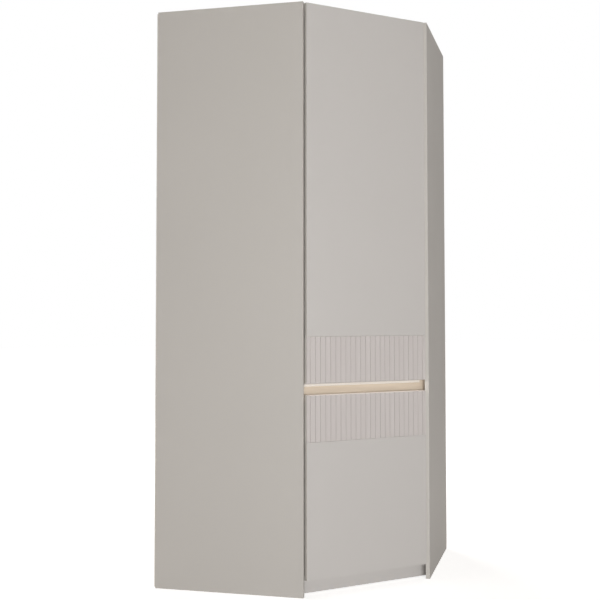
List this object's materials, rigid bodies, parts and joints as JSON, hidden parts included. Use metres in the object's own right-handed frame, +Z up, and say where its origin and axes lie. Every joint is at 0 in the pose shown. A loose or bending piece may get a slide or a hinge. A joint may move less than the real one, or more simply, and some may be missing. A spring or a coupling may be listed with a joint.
{
  "type": "corner wardrobe",
  "caption": "Tall corner wardrobe with a diagonal front, fluted doors, a lit oak grip recess, shelves and a hanging rod.",
  "frame": {"origin": "middle of the footprint's bounding box, on the floor", "axes": "+Z up, -Y the diagonal front, +Y the room's corner, +X to the right as seen from the front"},
  "size_m": [1.3972, 1.1088, 2.2],
  "materials": {
    "laminate": "warm grey laminate on chipboard, matt with a fine pore",
    "door_laminate": "warm grey laminate on chipboard, matt with a fine pore",
    "fluted_board": "warm grey foil over a grooved board, matt",
    "oak": "pale oak decor with a fine grain along the rail, satin",
    "back_sheet": "thin pale hardboard, smooth side in",
    "channel_metal": "anodised, satin",
    "light_strip": "white strip with small lamps",
    "diffuser": "opal, lit a warm white",
    "driver_case": "white moulded plastic",
    "lead_sheath": "white sheath",
    "rod_chrome": "polished tube",
    "fitting_metal": "nickel-plated steel, satin",
    "buffer_pad": "soft clear pad",
    "dowel_beech": "ribbed beech"
  },
  "bodies": {
    "carcass": {"left_side": "laminate", "right_side": "laminate", "top_panel": "laminate", "bottom_panel": "laminate", "middle_shelf": "laminate", "hat_shelf": "laminate", "lower_shelf": "laminate", "left_back": "back_sheet", "right_back": "back_sheet", "left_corner_stile": "laminate", "right_corner_stile": "laminate", "plinth": "laminate", "grip_rail": "oak", "light_channel": "channel_metal", "light_strip": "light_strip", "light_diffuser": "diffuser", "light_driver": "driver_case", "light_lead": "lead_sheath", "hanging_rod": "rod_chrome", "left_rod_bracket": "fitting_metal", "right_rod_bracket": "fitting_metal", "shelf_pin_1": "fitting_metal", "shelf_pin_2": "fitting_metal", "shelf_pin_3": "fitting_metal", "shelf_pin_4": "fitting_metal", "shelf_pin_5": "fitting_metal", "upper_buffer": "buffer_pad", "lower_buffer": "buffer_pad", "upper_hinge_1_arm": "fitting_metal", "upper_hinge_1_plate": "fitting_metal", "upper_hinge_2_arm": "fitting_metal", "upper_hinge_2_plate": "fitting_metal", "upper_hinge_3_arm": "fitting_metal", "upper_hinge_3_plate": "fitting_metal", "lower_hinge_1_arm": "fitting_metal", "lower_hinge_1_plate": "fitting_metal", "lower_hinge_2_arm": "fitting_metal", "lower_hinge_2_plate": "fitting_metal"},
    "upper_door": {"upper_door_panel": "door_laminate", "upper_fluted_panel": "fluted_board", "upper_dowel_1": "dowel_beech", "upper_dowel_2": "dowel_beech", "upper_dowel_3": "dowel_beech", "upper_hinge_1_cup": "fitting_metal", "upper_hinge_1_pin": "fitting_metal", "upper_hinge_2_cup": "fitting_metal", "upper_hinge_2_pin": "fitting_metal", "upper_hinge_3_cup": "fitting_metal", "upper_hinge_3_pin": "fitting_metal"},
    "lower_door": {"lower_door_panel": "door_laminate", "lower_fluted_panel": "fluted_board", "lower_dowel_1": "dowel_beech", "lower_dowel_2": "dowel_beech", "lower_dowel_3": "dowel_beech", "lower_hinge_1_cup": "fitting_metal", "lower_hinge_1_pin": "fitting_metal", "lower_hinge_2_cup": "fitting_metal", "lower_hinge_2_pin": "fitting_metal"}
  },
  "joints": [
    {"name": "upper_door_hinge", "type": "hinge", "parent": "carcass", "child": "upper_door", "pos_m": [0.2629, -0.54537, 1.49], "axis": [0, 0, 1], "range_deg": [0, 95]},
    {"name": "lower_door_hinge", "type": "hinge", "parent": "carcass", "child": "lower_door", "pos_m": [0.2629, -0.54537, 0.4], "axis": [0, 0, 1], "range_deg": [0, 95]}
  ]
}
